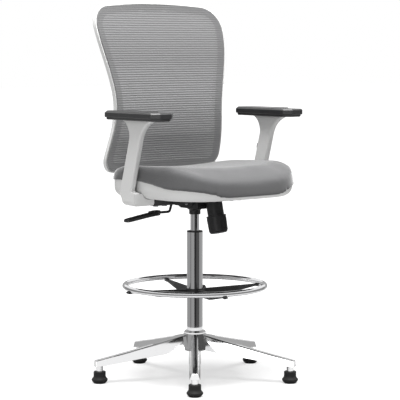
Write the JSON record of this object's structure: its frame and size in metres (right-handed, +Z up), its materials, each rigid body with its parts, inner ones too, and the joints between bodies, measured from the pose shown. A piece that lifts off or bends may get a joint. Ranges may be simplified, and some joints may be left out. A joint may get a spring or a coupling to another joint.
{
  "type": "drafting chair",
  "caption": "Tall drafting chair with a mesh back, padded seat, height-adjustable arms, gas column, adjustable foot ring and a polished star base on glides.",
  "frame": {"origin": "where the column axis meets the floor", "axes": "+Z up along the column, -Y the way the sitter faces, +X to the sitter's left"},
  "size_m": [0.6402, 0.6241, 1.181],
  "materials": {
    "aluminium": "polished",
    "chrome": "polished",
    "steel": "zinc plated",
    "black_steel": "powder coated",
    "black_plastic": "fine grain",
    "black_rubber": "matt",
    "pad_skin": "soft skin",
    "light_grey": "satin",
    "plywood": "raw birch",
    "seat_fabric": "woven",
    "back_mesh": "ribbed mesh"
  },
  "bodies": {
    "base": {"base_star": "aluminium", "glides": "black_plastic", "glide_stems": "steel", "column_tube": "chrome", "guide_bush": "black_plastic", "bearing_race_lower": "steel"},
    "spindle": {"piston_rod": "steel", "piston": "steel", "bearing_race_upper": "steel", "bearing_balls": "steel", "rod_clip": "steel", "bump_rubber": "black_rubber"},
    "carrier": {"mechanism_housing": "black_steel", "pressure_tube": "chrome", "tube_seal": "black_plastic", "spring_cover": "black_plastic", "tilt_axle": "steel", "axle_clips": "steel", "tension_spring": "steel"},
    "valve": {"valve_pin": "steel"},
    "seat": {"seat_plate": "black_steel", "seat_screws": "steel", "seat_shell": "light_grey", "shell_screws": "steel", "seat_pan": "plywood", "seat_cushion": "seat_fabric", "arm_post_left": "steel", "arm_post_right": "steel", "arm_bracket_left": "light_grey", "arm_bracket_right": "light_grey", "arm_struts": "black_steel", "arm_bolts": "steel", "back_bar": "black_steel", "bar_screws": "steel", "back_bolts": "steel", "back_frame": "light_grey", "back_mesh": "back_mesh"},
    "arm_left": {"arm_sleeve_left": "light_grey", "arm_pad_base_left": "black_plastic", "arm_pad_left": "pad_skin", "arm_pad_screws_left": "steel"},
    "arm_right": {"arm_sleeve_right": "light_grey", "arm_pad_base_right": "black_plastic", "arm_pad_right": "pad_skin", "arm_pad_screws_right": "steel"},
    "button_left": {"arm_button_left": "black_plastic"},
    "button_right": {"arm_button_right": "black_plastic"},
    "tension": {"tension_bolt": "steel", "barrel_nut": "steel"},
    "knob": {"tension_knob": "black_plastic"},
    "lever_pivot": {"valve_actuator": "black_plastic"},
    "lever": {"lever_rod": "steel", "lever_paddle": "black_plastic"},
    "ring_slide": {"ring_liner": "black_plastic"},
    "ring": {"foot_ring": "chrome", "ring_spider": "black_plastic", "ring_screws": "steel"},
    "ring_clamp": {"ring_knob": "black_plastic", "ring_knob_stud": "steel"}
  },
  "joints": [
    {"name": "swivel", "type": "hinge", "parent": "base", "child": "spindle", "pos_m": [0, 0, 0.04], "axis": [0, 0, 1], "continuous": true},
    {"name": "seat_height", "type": "slide", "parent": "spindle", "child": "carrier", "axis": [0, 0, 1], "range_m": [-0.02, 0.2]},
    {"name": "tilt", "type": "hinge", "parent": "carrier", "child": "seat", "pos_m": [0, -0.02, 0.56], "axis": [-1, 0, 0], "range_deg": [0, 12], "stiffness_Nm_per_rad": 80, "springref_deg": -17.19},
    {"name": "tension_rise", "type": "slide", "parent": "carrier", "child": "tension", "axis": [0, 0.2419, 0.9703], "range_m": [0, 0.01488], "deforming": ["tension_spring"]},
    {"name": "tension_turn", "type": "hinge", "parent": "tension", "child": "knob", "pos_m": [0, -0.09, 0.56984], "axis": [0, 0.2419, 0.9703], "range_deg": [-360, 360]},
    {"name": "lever_lift", "type": "hinge", "parent": "carrier", "child": "lever_pivot", "pos_m": [-0.036, 0.03, 0.557], "axis": [0, 1, 0], "range_deg": [0, 4], "stiffness_Nm_per_rad": 6, "springref_deg": -6.88},
    {"name": "lever_pull", "type": "slide", "parent": "lever_pivot", "child": "lever", "axis": [-1, 0, 0], "range_m": [0, 0.012]},
    {"name": "valve_press", "type": "slide", "parent": "carrier", "child": "valve", "axis": [0, 0, -1], "range_m": [0, 0.0026]},
    {"name": "arm_height_left", "type": "slide", "parent": "seat", "child": "arm_left", "axis": [0, -0.2723, 0.9622], "range_m": [0, 0.07]},
    {"name": "arm_height_right", "type": "slide", "parent": "seat", "child": "arm_right", "axis": [0, -0.2723, 0.9622], "range_m": [0, 0.07]},
    {"name": "arm_button_press_left", "type": "slide", "parent": "arm_left", "child": "button_left", "axis": [0, -0.9622, -0.2723], "range_m": [0, 0.003], "stiffness_N_per_m": 1500, "springref_m": -0.002},
    {"name": "arm_button_press_right", "type": "slide", "parent": "arm_right", "child": "button_right", "axis": [0, -0.9622, -0.2723], "range_m": [0, 0.003], "stiffness_N_per_m": 1500, "springref_m": -0.002},
    {"name": "ring_height", "type": "slide", "parent": "base", "child": "ring_slide", "axis": [0, 0, 1], "range_m": [-0.09, 0.13]},
    {"name": "ring_turn", "type": "hinge", "parent": "ring_slide", "child": "ring", "pos_m": [0, 0, 0.272], "axis": [0, 0, 1], "continuous": true},
    {"name": "ring_clamp_turn", "type": "hinge", "parent": "ring", "child": "ring_clamp", "pos_m": [0.05227, 0.02945, 0.272], "axis": [0.8712, 0.4909, 0], "range_deg": [0, 360]}
  ],
  "couplings": [
    {"joint": "tension_rise", "follows": "tilt", "m_per_rad": 0.070559},
    {"joint": "valve_press", "follows": "lever_lift", "m_per_rad": 0.036}
  ]
}
